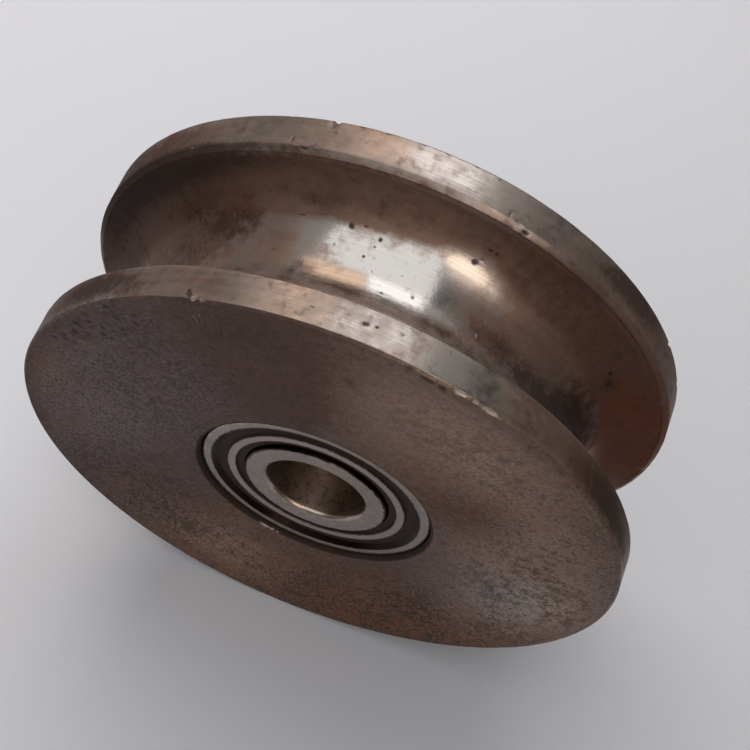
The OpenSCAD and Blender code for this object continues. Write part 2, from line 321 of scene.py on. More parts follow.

# Stains: each row is the coat it adds to, then angle and half spread in degrees, then place and
# half spread across in millimetres (radius on the front face, distance along the axle on the tread),
# then how much it adds or takes away. Film is brown oxide, grime is black oily dirt that also stands
# for painted shade in the bearing seat and the knock hollows and for painted dark reflection low in
# the groove, warm turns the colour from grey to brown, bare is fresh steel and on a few knocks a
# painted glint, pitted is how mottled the metal is, and polish is how bright the rail and handling
# keep it.
# On the front face the film taken off near 80 and 252 degrees and added near 108 and 215 degrees is partly tarnish
# and partly painted highlight and painted shade of the light and dark sectors of a turned face.
face_stains = [
    ("film", 80, 17, 46, 16, -0.42), ("film", 56, 20, 46, 16, -0.40), ("film", 252, 15, 44, 18, -0.30),
    ("film", 8, 28, 42, 16, -0.46), ("film", 345, 22, 47, 15, -0.62), ("film", 184, 22, 42, 14, -0.12),
    ("film", 150, 22, 44, 16, -0.06), ("film", 108, 15, 42, 20, 0.38), ("film", 215, 12, 48, 16, 0.10),
    ("film", 153, 10, 55, 6, -0.16), ("film", 302, 22, 44, 16, 0.10), ("film", 36, 14, 32, 9, 0.18),
    ("film", 20, 14, 47, 6, -0.22), ("warm", 62, 40, 44, 30, 0.75), ("warm", 14, 26, 40, 18, 0.60),
    ("warm", 300, 40, 50, 30, 0.70), ("warm", 252, 22, 44, 30, 0.70), ("warm", 345, 14, 42, 8, -0.35),
    ("warm", 328, 16, 55, 7, 0.45), ("warm", 356, 9, 54, 4, 0.60), ("film", 356, 8, 54.5, 3.5, 0.20),
    ("warm", 174, 8, 57, 4, 0.5), ("grime_and_shade", 152, 13, 56, 4, 0.16), ("grime_and_shade", 165, 26, 44, 14, 0.14),
    ("grime_and_shade", 140, 18, 50, 8, 0.14), ("grime_and_shade", 182, 30, 59.2, 2.6, 0.34), ("grime_and_shade", 18, 18, 50, 10, 0.16),
    ("grime_and_shade", 30, 20, 34, 10, 0.18), ("grime_and_shade", 345, 14, 53, 8, 0.04), ("grime_and_shade", 350, 10, 40, 6, 0.14),
    ("grime_and_shade", 203, 5, 36, 6, 0.16), ("grime_and_shade", 235, 20, 58, 2.5, 0.18), ("grime_and_shade", 300, 30, 59, 1.5, 0.15),
    ("grime_and_shade", 64, 20, 58.6, 1.6, 0.30), ("grime_and_shade", 256, 14, 30, 5, 0.22), ("rust", 178, 16, 58.0, 2.6, 0.15),
    ("warm", 172, 16, 57.5, 3, 0.15), ("rust", 168, 6, 58.5, 1.5, 0.15), ("rust", 300, 30, 52, 12, 0.20),
    ("rust", 282, 12, 46, 12, 0.12), ("rust", 48.6, 3.5, 48.2, 1.6, 0.35), ("rust", 250, 16, 56, 3, 0.22),
    ("rust", 335, 14, 57, 3, 0.20), ("rust", 36, 12, 33, 7, 0.16), ("bare_and_glint", 350, 22, 46, 14, 0.37),
    ("bare_and_glint", 178, 18, 42, 12, 0.17), ("bare_and_glint", 62, 26, 46, 14, 0.22), ("pitted", 160, 36, 47, 22, 0.95),
    ("pitted", 14, 42, 46, 22, 0.62), ("pitted", 300, 34, 50, 18, 0.85), ("pitted", 218, 22, 48, 20, 0.75),
    ("pitted", 252, 22, 44, 20, 0.70), ("pitted", 106, 18, 42, 26, -0.20)]
# The grime rows low in the groove near 24, 32, 37, 53, 65 and 152 degrees darken where the polished bottom would
# reflect the bench brightly: painted dark reflection along with dirt.
tread_stains = [
    ("film", 158, 36, 4, 16, 0.60), ("film", 140, 14, 8, 5, 0.30), ("film", 119, 6, 3, 6, 0.28),
    ("film", 40, 30, 6, 14, 0.45), ("film", 62, 12, 6, 5, 0.25), ("film", 165, 26, 17, 4, 0.3),
    ("film", 160, 30, -17, 4, 0.34), ("film", 35, 26, -17, 4, 0.5), ("film", 25, 30, 17, 4, 0.4),
    ("grime_and_shade", 50, 14, 18.8, 3.6, 0.80), ("grime_and_shade", 60, 9, 16.0, 1.4, 0.22), ("film", 92, 11, 17, 4, -0.28),
    ("film", 112, 7, 17, 4, 0.22), ("film", 125, 6, 17, 4, -0.20), ("film", 92, 16, -17, 4, -0.04),
    ("film", 76, 7, -17, 4, -0.45), ("film", 118, 5.5, -17, 5, 0.36), ("film", 62, 6, -17, 5, 0.35),
    ("film", 112, 10, 9.6, 1.6, 0.45), ("film", 96, 13, 11.2, 2.2, 0.5), ("film", 62, 10, 12, 1.5, 0.3),
    ("film", 78, 7, 9.6, 2.0, -0.65), ("film", 92, 13, 2, 5, -0.12), ("film", 113, 2.2, 3, 5, -0.20),
    ("polish", 78, 7, 9.8, 2.2, 0.22), ("polish", 92, 24, -5.6, 2.0, -0.45), ("film", 92, 24, -5.6, 2.0, 0.40),
    ("polish", 150, 30, 4, 10, -0.35), ("polish", 35, 24, 6, 10, -0.12), ("polish", 120, 5, 3, 6, -0.30),
    ("grime_and_shade", 113, 3.6, 10.4, 1.0, 0.50), ("grime_and_shade", 108, 2.2, 10.9, 0.7, 0.35),
    ("grime_and_shade", 110, 2.0, 9.5, 0.6, 0.35), ("grime_and_shade", 98.7, 0.9, 11.5, 0.45, 0.55),
    ("grime_and_shade", 99.0, 0.8, 10.5, 0.45, 0.45), ("grime_and_shade", 103, 8, 11.2, 1.2, 0.16),
    ("grime_and_shade", 142, 13, 9.5, 3.5, 0.22), ("grime_and_shade", 134, 5, 6.5, 1.8, 0.22), ("grime_and_shade", 150, 16, 4, 5, 0.12),
    ("grime_and_shade", 33, 4, 10.8, 1.4, 0.40), ("grime_and_shade", 53, 10, -1.5, 3.4, 0.55), ("grime_and_shade", 70, 12, 11.6, 0.7, 0.16),
    ("grime_and_shade", 30, 16, -19, 2, 0.22), ("grime_and_shade", 141, 12, -17, 4, 0.42), ("polish", 47, 14, -17, 5, -0.35),
    ("grime_and_shade", 178, 30, 10, 14, 0.30), ("grime_and_shade", 146, 26, -17, 5, 0.30), ("grime_and_shade", 156, 26, 17, 5, 0.44),
    ("warm", 150, 28, -17, 5, -0.45), ("warm", 156, 28, 17, 5, -0.45), ("polish", 150, 26, -17, 5, -0.40),
    ("polish", 152, 28, 17, 5, -0.40), ("grime_and_shade", 135, 14, 5, 6, 0.34), ("grime_and_shade", 38, 16, -17, 5, 0.72),
    ("grime_and_shade", 32, 15, 0, 6, 0.70), ("rust", 24, 10, -1, 6, 0.45), ("grime_and_shade", 152, 12, 0, 5, 0.25),
    ("grime_and_shade", 65, 9, 1, 4, 0.52), ("grime_and_shade", 37, 11, -4, 5, 0.95), ("grime_and_shade", 24, 15, 5.5, 3.4, 0.45),
    ("film", 66, 9, 1, 4, 0.45), ("rust", 20, 15, 6, 3, 0.35), ("polish", 22, 18, 5, 5, -0.60),
    ("polish", 75, 6, 4, 4, -0.35), ("polish", 165, 30, 0, 40, -0.45), ("polish", 32, 28, 0, 40, -0.55),
    ("rust", 133, 9, 8.2, 3.0, 0.45), ("rust", 128, 6, 7.0, 3.2, 0.26), ("grime_and_shade", 128, 6, 7.2, 3.0, 0.24),
    ("grime_and_shade", 140, 30, 13.5, 1.0, 0.80), ("grime_and_shade", 97, 11, 3, 5, 0.12), ("grime_and_shade", 76, 5, 0.5, 3, 0.12),
    ("rust", 14, 19, 11.6, 3.0, 1.10), ("rust", -4, 20, 9.6, 3.2, 0.70), ("rust", 147, 7, 17.5, 3, 0.45),
    ("rust", 118, 3.4, -16.5, 0.5, 0.55), ("rust", 117, 3.6, -15.5, 0.4, 0.40),
    ("rust", 76.0, 3, 11.6, 0.8, 0.30), ("rust", 108, 5, 2.5, 2, 0.10), ("rust", 160, 20, 16, 3, 0.18),
    ("rust", 28, 8, 19, 2, 0.3), ("rust", 35, 10, -19, 2, 0.25), ("rust", 135, 10, -16, 3, 0.15)]
mesh = wheel.data
place = np.empty(len(mesh.vertices) * 3)
mesh.vertices.foreach_get("co", place)
place = place.reshape(-1, 3)
radius = np.hypot(place[:, 0], place[:, 2]) * 1000
along = place[:, 1] * 1000
angle = np.degrees(np.arctan2(place[:, 2], place[:, 0]))
face_depth = 0.45
seat_reach = 23.6
groove_half = 13.0
rail_middle, rail_half, rail_fade = -1.0, 8.8, 3.0
on_front = along < -1000 * half_w + face_depth
on_back = along > 1000 * half_w - face_depth
in_seat = radius < seat_reach
on_tread = ~on_front & ~on_back & ~in_seat
in_groove = on_tread & (np.abs(along) < groove_half)
wall = np.clip((np.abs(along - rail_middle) - rail_half) / rail_fade, 0, 1)
# In the bearing seat the heavy film and grime are old oil together with painted shade of the recess.
coats = {
    "film": np.where(in_groove, 0.18 + 0.55 * wall, np.where(on_tread, 0.42, np.where(in_seat, 0.8, 0.62))),
    "grime_and_shade": np.where(on_tread, 0.06, np.where(in_seat, 0.9, 0.14)),
    "rust": np.where(on_tread, 0.04, 0.08),
    "warm": np.where(on_tread, 0.8, 0.15),
    "bare_and_glint": np.zeros(len(radius)),
    "pitted": np.where(on_tread, 0.28, 0.38),
    "polish": np.where(in_groove, 1 - 0.55 * wall, np.where(on_tread, 0.7, 0.0))}
for rows, zone, across in ((face_stains, on_front & ~in_seat, radius), (tread_stains, on_tread, along)):
    for coat, a, spread, b, width, amount in rows:
        turned = np.clip((np.abs((angle - a + 180) % 360 - 180)) / spread, 0, 4)
        coats[coat] += zone * amount * np.exp(-turned ** 2 - ((across - b) / width) ** 2)

# The edges of both rims are rubbed bright, and the knocks hold dirt with painted shade in their hollows or show bare
# steel, some of it a painted glint.
rub_radius, rub_outer, rub_inner, rub_spread = 59.9, 20.6, 14.0, 0.30
outer_edge, inner_edge = (
    np.exp(-((np.hypot(radius - rub_radius, np.abs(along) - rub_along) / rub_spread) ** 2))
    for rub_along in (rub_outer, rub_inner))
coats["bare_and_glint"] += 0.22 * outer_edge + 0.20 * inner_edge
coats["grime_and_shade"] = np.maximum(coats["grime_and_shade"] * (1 - 0.6 * outer_edge), dirt_and_shade_in)
coats["bare_and_glint"] = np.maximum(coats["bare_and_glint"], bare_and_glint_on)
for name, values in coats.items():
    layer = mesh.attributes.new(name, "FLOAT", "POINT")
    layer.data.foreach_set("value", np.clip(values, 0, 1.2).astype(np.float32))


def put(tree, kind, wires=(), **settings):
    """Adds a node, sets it up and wires its inputs to sockets or plain values."""
    made = tree.nodes.new(kind)
    for name, value in settings.items():
        setattr(made, name, value)
    for slot, value in wires:
        if isinstance(value, bpy.types.NodeSocket):
            tree.links.new(value, made.inputs[slot])
        else:
            made.inputs[slot].default_value = value
    return made


def reckon(tree, operation, *terms, clamp=False):
    """One step of arithmetic on sockets and plain numbers."""
    return put(tree, "ShaderNodeMath", enumerate(terms), operation=operation, use_clamp=clamp).outputs[0]


def shares(tree, *parts):
    """The sum of several sockets, each taken with its own share."""
    total, *others = [reckon(tree, "MULTIPLY", socket, share) for socket, share in parts]
    for part in others:
        total = reckon(tree, "ADD", total, part)
    return total


def stretched(tree, value, start, end, low=0.0, high=1.0):
    """A value brought from the range start to end into the range low to high, and held there."""
    return put(tree, "ShaderNodeMapRange", ((0, value), (1, start), (2, end), (3, low), (4, high))).outputs[0]


def between(tree, amount, low, high):
    """Low where the amount is 0 and high where it is 1."""
    return stretched(tree, amount, 0.0, 1.0, low, high)


def tinted(tree, amount, under, over, blend="MIX"):
    """Colour over laid on colour under by amount."""
    return put(tree, "ShaderNodeMix", ((0, amount), (6, under), (7, over)),
               data_type="RGBA", blend_type=blend, clamp_factor=True).outputs[2]


def grouped(tree, group, wires):
    """The outputs of an effect placed in a material with its own values."""
    return put(tree, "ShaderNodeGroup", wires, node_tree=group).outputs


def round_axle(tree):
    """The place in the object as x, y and z, and its distance from the axle."""
    xyz = put(tree, "ShaderNodeSeparateXYZ", ((0, put(tree, "ShaderNodeTexCoord").outputs["Object"]),)).outputs
    squares = [reckon(tree, "MULTIPLY", xyz[i], xyz[i]) for i in (0, 2)]
    return xyz, reckon(tree, "SQRT", reckon(tree, "ADD", *squares))


def effect(name, inputs, outputs):
    """An empty shader group with its named inputs and its named values put out."""
    tree = bpy.data.node_groups.new(name, "ShaderNodeTree")
    for label, value in inputs:
        tree.interface.new_socket(label, in_out="INPUT", socket_type="NodeSocketFloat").default_value = value
    for label in outputs:
        tree.interface.new_socket(label, in_out="OUTPUT", socket_type="NodeSocketFloat")
    return tree, tree.nodes.new("NodeGroupInput").outputs, tree.nodes.new("NodeGroupOutput").inputs


# Turning marks: fine rings left by the lathe tool, fading in and out round the axle.
turning_marks, given, result = effect(
    "turning_marks", (("Lines per Metre", 5000), ("Breaks per Turn", 2.5)), ("Lines", "Scores"))
score_share = 0.35
xyz, out_r = round_axle(turning_marks)
ways = [reckon(turning_marks, "MULTIPLY", reckon(turning_marks, "DIVIDE", xyz[i], out_r), given["Breaks per Turn"])
        for i in (0, 2)]
ring_at = reckon(turning_marks, "MULTIPLY", out_r, given["Lines per Metre"])
line_at = reckon(turning_marks, "MULTIPLY", xyz[1], given["Lines per Metre"])
fine_at = put(turning_marks, "ShaderNodeCombineXYZ", ((0, ways[0]), (1, ways[1]), (2, ring_at))).outputs[0]
fine = put(turning_marks, "ShaderNodeTexNoise",
           (("Vector", fine_at), ("W", line_at), ("Scale", 1.0), ("Detail", 3.0)), noise_dimensions="4D").outputs[0]
coarse_at = put(turning_marks, "ShaderNodeVectorMath",
                ((0, fine_at), (1, (4.0, 4.0, score_share))), operation="MULTIPLY").outputs[0]
coarse = put(turning_marks, "ShaderNodeTexNoise",
             (("Vector", coarse_at), ("W", reckon(turning_marks, "MULTIPLY", line_at, score_share)),
              ("Scale", 1.0), ("Detail", 2.0)), noise_dimensions="4D").outputs[0]
turning_marks.links.new(fine, result["Lines"])
turning_marks.links.new(stretched(turning_marks, coarse, 0.58, 0.72), result["Scores"])

# Oxide mottle: slow clouds, small blotches and fine specks of the brown film.
oxide_mottle, given, result = effect(
    "oxide_mottle", (("Cloud Size", 0.012), ("Blotch Size", 0.0016), ("Speck Size", 0.0005)),
    ("Clouds", "Blotches", "Specks"))
here = put(oxide_mottle, "ShaderNodeTexCoord").outputs["Object"]
for label, size, detail in (
        ("Clouds", "Cloud Size", 3.0), ("Blotches", "Blotch Size", 3.0), ("Specks", "Speck Size", 2.0)):
    spots = put(oxide_mottle, "ShaderNodeTexNoise",
                (("Vector", here), ("Scale", reckon(oxide_mottle, "DIVIDE", 1.0, given[size])), ("Detail", detail)))
    oxide_mottle.links.new(spots.outputs[0], result[label])

# Broken coat: turns a soft painted amount into a patchy cover with ragged edges.
broken_coat, given, result = effect(
    "broken_coat", (("Amount", 0.0), ("Break Up", 0.5), ("Reach", 1.0), ("Softness", 0.12)), ("Cover",))
clean_level = 0.78
start = reckon(broken_coat, "SUBTRACT", clean_level, reckon(broken_coat, "MULTIPLY", given["Amount"], given["Reach"]))
rise = reckon(broken_coat, "DIVIDE", reckon(broken_coat, "SUBTRACT", given["Break Up"], start), given["Softness"])
broken_coat.links.new(reckon(broken_coat, "ADD", rise, 0.5, clamp=True), result["Cover"])

# The wheel's colours. A pair is the darkest and the lightest of one finish.
cool_steel = (0.110, 0.082, 0.077, 1), (0.315, 0.266, 0.254, 1)
warm_steel = (0.135, 0.080, 0.052, 1), (0.455, 0.316, 0.240, 1)
polished_steel = (0.485, 0.465, 0.450, 1)
tool_shade = (0.45, 0.40, 0.36, 1)
cool_film = (0.036, 0.023, 0.022, 1), (0.132, 0.093, 0.089, 1)
warm_film = (0.050, 0.024, 0.014, 1), (0.245, 0.135, 0.086, 1)
groove_film = (0.184, 0.109, 0.079, 1), (0.365, 0.245, 0.190, 1)
rim_film = (0.120, 0.085, 0.067, 1), (0.380, 0.316, 0.282, 1)
score_dirt = (0.075, 0.052, 0.042, 1)
red_rust = (0.095, 0.024, 0.012, 1), (0.205, 0.072, 0.034, 1)
black_grime_and_shade = (0.024, 0.015, 0.012, 1)
chipped_steel_and_glint = (0.50, 0.45, 0.39, 1)

wheel_steel.use_nodes = True
tree = wheel_steel.node_tree
shader = tree.nodes["Principled BSDF"]
read = {name: put(tree, "ShaderNodeAttribute", attribute_name=name).outputs["Fac"] for name in coats}
marks = grouped(tree, turning_marks, (("Lines per Metre", 4200), ("Breaks per Turn", 2.5)))
streaks = grouped(tree, turning_marks, (("Lines per Metre", 620), ("Breaks per Turn", 5.0)))["Lines"]
scores = grouped(tree, turning_marks, (("Lines per Metre", 1700), ("Breaks per Turn", 8.0)))["Scores"]
mottle = grouped(tree, oxide_mottle, (("Cloud Size", 0.011), ("Blotch Size", 0.0021), ("Speck Size", 0.0006)))
xyz, out_r = round_axle(tree)
grain = shares(tree, (mottle["Specks"], 0.36), (mottle["Blotches"], 0.36), (mottle["Clouds"], 0.28))
patches = shares(tree, (mottle["Clouds"], 0.4), (mottle["Blotches"], 0.6))
film_break = shares(tree, (patches, 0.88), (marks["Lines"], 0.12))

# Painted shade, with some oil and dust, darkens the corner where the bearing sits and a thin line along the edge of
# the groove.
seat_corner_shade = stretched(tree, out_r, seat_r + 0.0010, seat_r + 0.0004)
off_edge = reckon(tree, "ABSOLUTE", reckon(tree, "SUBTRACT", out_r, rim_r - groove_chamfer - 0.0002))
groove_edge_shade = stretched(tree, off_edge, 0.0006, 0.0002, high=0.40)
inside_rims = reckon(tree, "LESS_THAN", reckon(tree, "ABSOLUTE", xyz[1]), groove_r + 0.0004)
corners = reckon(tree, "MAXIMUM", seat_corner_shade, reckon(tree, "MULTIPLY", groove_edge_shade, inside_rims))
film_cover, grime_and_shade_cover, rust_cover, bare_and_glint_cover = (
    grouped(tree, broken_coat, (
        ("Amount", amount), ("Break Up", break_up), ("Reach", reach), ("Softness", soft)))["Cover"]
    for amount, break_up, reach, soft in (
        (read["film"], film_break, 0.62, 0.34),
        (reckon(tree, "MAXIMUM", read["grime_and_shade"], corners), grain, 0.55, 0.26),
        (read["rust"], patches, 0.60, 0.34),
        (read["bare_and_glint"], grain, 0.60, 0.22)))
covered = reckon(tree, "MAXIMUM", rust_cover, grime_and_shade_cover)

# Base colour: steel, brown film, dirt in the scores, rust, grime with painted shade in the corners and hollows, and
# last the bare chips, some of them painted glints.
uneven = reckon(tree, "MULTIPLY", stretched(tree, grain, 0.42, 0.58, -0.5, 0.5), read["pitted"])
uneven = reckon(tree, "ADD", uneven, 0.5)
streaky = reckon(tree, "SUBTRACT", streaks, patches)
streaky = reckon(tree, "MULTIPLY", streaky, between(tree, read["polish"], 0.10, 0.60))
smeared = stretched(tree, reckon(tree, "ADD", patches, streaky), 0.36, 0.64)
lined = stretched(tree, marks["Lines"], 0.32, 0.68)
tooled = between(tree, read["polish"], 0.05, 0.32)
half_tooled = reckon(tree, "MULTIPLY", tooled, 0.5)
scored = reckon(tree, "MULTIPLY", scores, reckon(tree, "SUBTRACT", read["polish"], inside_rims, clamp=True))
worn_steel = tinted(tree, read["warm"], tinted(tree, uneven, *cool_steel), tinted(tree, uneven, *warm_steel))
steel = tinted(tree, read["polish"], worn_steel, polished_steel)
steel = tinted(tree, reckon(tree, "MULTIPLY", lined, half_tooled), steel, tool_shade, "MULTIPLY")
face_film = tinted(tree, read["warm"], tinted(tree, uneven, *cool_film), tinted(tree, uneven, *warm_film))
tread_film = tinted(tree, inside_rims, tinted(tree, smeared, *rim_film), tinted(tree, smeared, *groove_film))
skin = tinted(tree, film_cover, steel, tinted(tree, read["polish"], face_film, tread_film))
skin = tinted(tree, reckon(tree, "MULTIPLY", scored, 0.75), skin, score_dirt)
skin = tinted(tree, reckon(tree, "MULTIPLY", rust_cover, 0.85), skin, tinted(tree, uneven, *red_rust))
# Grime darkens the skin: oily dirt, and painted shade in the seat corner, along the groove's edges and in the knock
# hollows.
skin = tinted(tree, reckon(tree, "MULTIPLY", grime_and_shade_cover, 0.80), skin, black_grime_and_shade)
# The chips are fresh steel, and some on the front edge and round the bearing seat are painted glints.
skin = tinted(tree, bare_and_glint_cover, skin, chipped_steel_and_glint)
tree.links.new(skin, shader.inputs["Base Color"])

# Metal shows through a thin film, hardly through rust and grime, and fully where it is chipped.
metal = reckon(tree, "MULTIPLY", between(tree, film_cover, 1.0, 0.40), between(tree, covered, 1.0, 0.10))
tree.links.new(reckon(tree, "MAXIMUM", metal, bare_and_glint_cover), shader.inputs["Metallic"])
rough = between(tree, read["polish"], 0.50, 0.14)
for coat, low, high in ((film_cover, 0.0, 0.16), (covered, 0.0, 0.22), (lined, -0.04, 0.04)):
    rough = reckon(tree, "ADD", rough, between(tree, coat, low, high))
tree.links.new(rough, shader.inputs["Roughness"])
shader.inputs["Specular IOR Level"].default_value = 0.20
shader.inputs["Anisotropic"].default_value = 0.40
shader.inputs["Anisotropic Rotation"].default_value = 0.25
tree.links.new(put(tree, "ShaderNodeTangent", direction_type="RADIAL", axis="Y").outputs[0], shader.inputs["Tangent"])
height = reckon(tree, "MULTIPLY", reckon(tree, "SUBTRACT", marks["Lines"], marks["Scores"]), half_tooled)
height = reckon(tree, "ADD", height, shares(tree, (mottle["Specks"], 0.5), (covered, 0.6)))
bump = put(tree, "ShaderNodeBump", (("Strength", 0.45), ("Distance", 0.00004), ("Height", height)))
tree.links.new(bump.outputs[0], shader.inputs["Normal"])
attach(wheel, "wheel")
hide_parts("wheel_body")


# Bearing rings: hardened steel, ground bright on the faces and left dark with old oil and painted
# shade in the rounded corners beside the gaps, and oiled in the bore. The outer rings are pressed
# into the wheel, the inner rings slide on the axle.
outer_ring_bright = 0.0212, 0.0233
inner_ring_bright = 0.0103, 0.0142
oil_fade = 0.0003
ring_grey = (0.29, 0.246, 0.218, 1), (0.43, 0.378, 0.342, 1)
ring_dirt = (0.15, 0.108, 0.088, 1)
# Near black: old oil together with painted shade in the ring corners beside the gaps.
black_oil_and_shade = (0.008, 0.005, 0.004, 1), (0.034, 0.021, 0.016, 1)
bore_oil = (0.36, 0.285, 0.232, 1), (0.50, 0.412, 0.345, 1)


def ring_finish(name, recoloured_inside, oil_and_shade_outside, inside_colours, outside_colours):
    """Ground ring steel that takes other colours below one radius and beyond another, in metres: old oil, and beside
    the gaps painted shade.
    """
    made = bpy.data.materials.new(name)
    made.use_nodes = True
    tree = made.node_tree
    shader = tree.nodes["Principled BSDF"]
    _, out_r = round_axle(tree)
    mottle = grouped(tree, oxide_mottle, (("Cloud Size", 0.006), ("Blotch Size", 0.0012), ("Speck Size", 0.0004)))
    marks = grouped(tree, turning_marks, (("Lines per Metre", 9000), ("Breaks per Turn", 3.0)))
    ragged = reckon(tree, "MULTIPLY", reckon(tree, "SUBTRACT", mottle["Blotches"], 0.5), 0.0006)
    edge_r = reckon(tree, "ADD", out_r, ragged)
    inside = stretched(tree, edge_r, recoloured_inside + oil_fade, recoloured_inside)
    oil_and_shade_out = stretched(tree, edge_r, oil_and_shade_outside - oil_fade, oil_and_shade_outside)
    dirt = grouped(tree, broken_coat, (("Amount", 0.20), ("Break Up", mottle["Blotches"]), ("Reach", 1.0),
                                       ("Softness", 0.55)))["Cover"]
    steel = tinted(tree, mottle["Clouds"], *ring_grey)
    steel = tinted(tree, reckon(tree, "MULTIPLY", dirt, 0.45), steel, ring_dirt)
    # Below the inner radius the inside colours: on the outer rings near-black oil and painted shade.
    steel = tinted(tree, inside, steel, tinted(tree, mottle["Clouds"], *inside_colours))
    # Beyond the outer radius: old oil with painted shade of the gap beside the ring.
    steel = tinted(tree, oil_and_shade_out, steel, tinted(tree, mottle["Clouds"], *outside_colours))
    tree.links.new(steel, shader.inputs["Base Color"])
    shader.inputs["Metallic"].default_value = 1.0
    rough = reckon(tree, "ADD", between(tree, marks["Lines"], 0.18, 0.32), reckon(tree, "MULTIPLY", dirt, 0.12))
    tree.links.new(rough, shader.inputs["Roughness"])
    bump = put(tree, "ShaderNodeBump", (("Strength", 0.35), ("Distance", 0.00002), ("Height", marks["Lines"])))
    tree.links.new(bump.outputs[0], shader.inputs["Normal"])
    shader.inputs["Anisotropic"].default_value = 0.75
    shader.inputs["Anisotropic Rotation"].default_value = 0.25
    tree.links.new(put(tree, "ShaderNodeTangent", direction_type="RADIAL", axis="Y").outputs[0],
                   shader.inputs["Tangent"])
    shader.inputs["Specular IOR Level"].default_value = 0.15
    return made


def finish_node(name, material):
    """Puts a finish on a CAD node that keeps its own shape."""
    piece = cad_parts[name]
    piece.data.materials.clear()
    piece.data.materials.append(material)


outer_ring_steel = ring_finish("outer_ring_steel", *outer_ring_bright, black_oil_and_shade, black_oil_and_shade)
inner_ring_steel = ring_finish("inner_ring_steel", *inner_ring_bright, bore_oil, black_oil_and_shade)
for side in ("front", "rear"):
    finish_node(f"{side}_outer_ring", outer_ring_steel)
    finish_node(f"{side}_inner_ring", inner_ring_steel)


# Shields: rings pressed from thin steel sheet with one raised rib, crimped into the outer rings.
# The rib is rubbed bright; the sunken parts on both sides of it, and the rib's slopes, are near black from grease and
# dust together with painted shade.
rib_inner_r, rib_outer_r = 0.0164, 0.0180
rib_middle_r, rib_half = (rib_inner_r + rib_outer_r) / 2, (rib_outer_r - rib_inner_r) / 2
sheet_grey = (0.28, 0.238, 0.212, 1), (0.42, 0.37, 0.335, 1)
grease_and_shade_black = (0.014, 0.007, 0.005, 1), (0.062, 0.034, 0.026, 1)
shield_steel = bpy.data.materials.new("shield_steel_grease_and_shade")
shield_steel.use_nodes = True
tree = shield_steel.node_tree
shader = tree.nodes["Principled BSDF"]
_, out_r = round_axle(tree)
mottle = grouped(tree, oxide_mottle, (("Cloud Size", 0.005), ("Blotch Size", 0.001), ("Speck Size", 0.0004)))
from_rib = reckon(tree, "ABSOLUTE", reckon(tree, "SUBTRACT", out_r, rib_middle_r))
ragged = reckon(tree, "MULTIPLY", reckon(tree, "SUBTRACT", mottle["Blotches"], 0.5), 0.0003)
# This mask is grease and painted shade in the sunken parts and on the rib's slopes.
grease_and_shade = stretched(tree, reckon(tree, "ADD", from_rib, ragged), rib_half - 0.0002, rib_half + 0.0001)
sheet = tinted(tree, mottle["Clouds"], *sheet_grey)
sludge_and_shade = tinted(tree, mottle["Specks"], *grease_and_shade_black)
tree.links.new(tinted(tree, grease_and_shade, sheet, sludge_and_shade), shader.inputs["Base Color"])
tree.links.new(between(tree, grease_and_shade, 1.0, 0.0), shader.inputs["Metallic"])
shader.inputs["Specular IOR Level"].default_value = 0.12
tree.links.new(reckon(tree, "ADD", between(tree, grease_and_shade, 0.32, 0.55), between(tree, mottle["Blotches"], -0.1, 0.1)),
               shader.inputs["Roughness"])
bump = put(tree, "ShaderNodeBump", (("Strength", 0.4), ("Distance", 0.00003), ("Height", mottle["Specks"])))
tree.links.new(bump.outputs[0], shader.inputs["Normal"])
for side in ("front", "rear"):
    for place_name in ("outer", "inner"):
        finish_node(f"{side}_{place_name}_shield", shield_steel)


# Inside the bearings: polished balls in a cage of two pressed steel ribbons that small rivets hold together.
# A tube between the inner rings spaces the bearings. All of it lies in oil behind the shields.
ball_count = 8


def oiled_finish(name, low, high, rough_low, rough_high, lines):
    """Oiled steel between two colours, with the given roughness and tool lines per metre."""
    made = bpy.data.materials.new(name)
    made.use_nodes = True
    tree = made.node_tree
    shader = tree.nodes["Principled BSDF"]
    mottle = grouped(tree, oxide_mottle, (("Cloud Size", 0.004), ("Blotch Size", 0.0012), ("Speck Size", 0.0004)))
    marks = grouped(tree, turning_marks, (("Lines per Metre", lines), ("Breaks per Turn", 3.0)))
    stain = stretched(tree, shares(tree, (mottle["Clouds"], 0.6), (marks["Lines"], 0.4)), 0.35, 0.65)
    tree.links.new(tinted(tree, stain, low, high), shader.inputs["Base Color"])
    shader.inputs["Metallic"].default_value = 1.0
    tree.links.new(between(tree, mottle["Blotches"], rough_low, rough_high), shader.inputs["Roughness"])
    bump = put(tree, "ShaderNodeBump", (("Strength", 0.3), ("Distance", 0.00001), ("Height", marks["Lines"])))
    tree.links.new(bump.outputs[0], shader.inputs["Normal"])
    return made


ball_steel = oiled_finish("oiled_ball_steel", (0.42, 0.39, 0.36, 1), (0.66, 0.64, 0.62, 1), 0.06, 0.16, 3000)
ribbon_steel = oiled_finish("oiled_ribbon_steel", (0.20, 0.165, 0.13, 1), (0.42, 0.38, 0.33, 1), 0.22, 0.44, 6000)
rivet_steel = oiled_finish("oiled_rivet_steel", (0.26, 0.22, 0.18, 1), (0.46, 0.42, 0.38, 1), 0.20, 0.40, 6000)
tube_steel = oiled_finish("oiled_tube_steel", (0.32, 0.255, 0.21, 1), (0.54, 0.455, 0.385, 1), 0.18, 0.32, 5000)
for side in ("front", "rear"):
    finish_node(f"{side}_cage_outer_half", ribbon_steel)
    finish_node(f"{side}_cage_inner_half", ribbon_steel)
    finish_node(f"{side}_cage_rivets", rivet_steel)
    for i in range(1, ball_count + 1):
        finish_node(f"{side}_ball_{i}", ball_steel)
finish_node("spacer_sleeve", tube_steel)


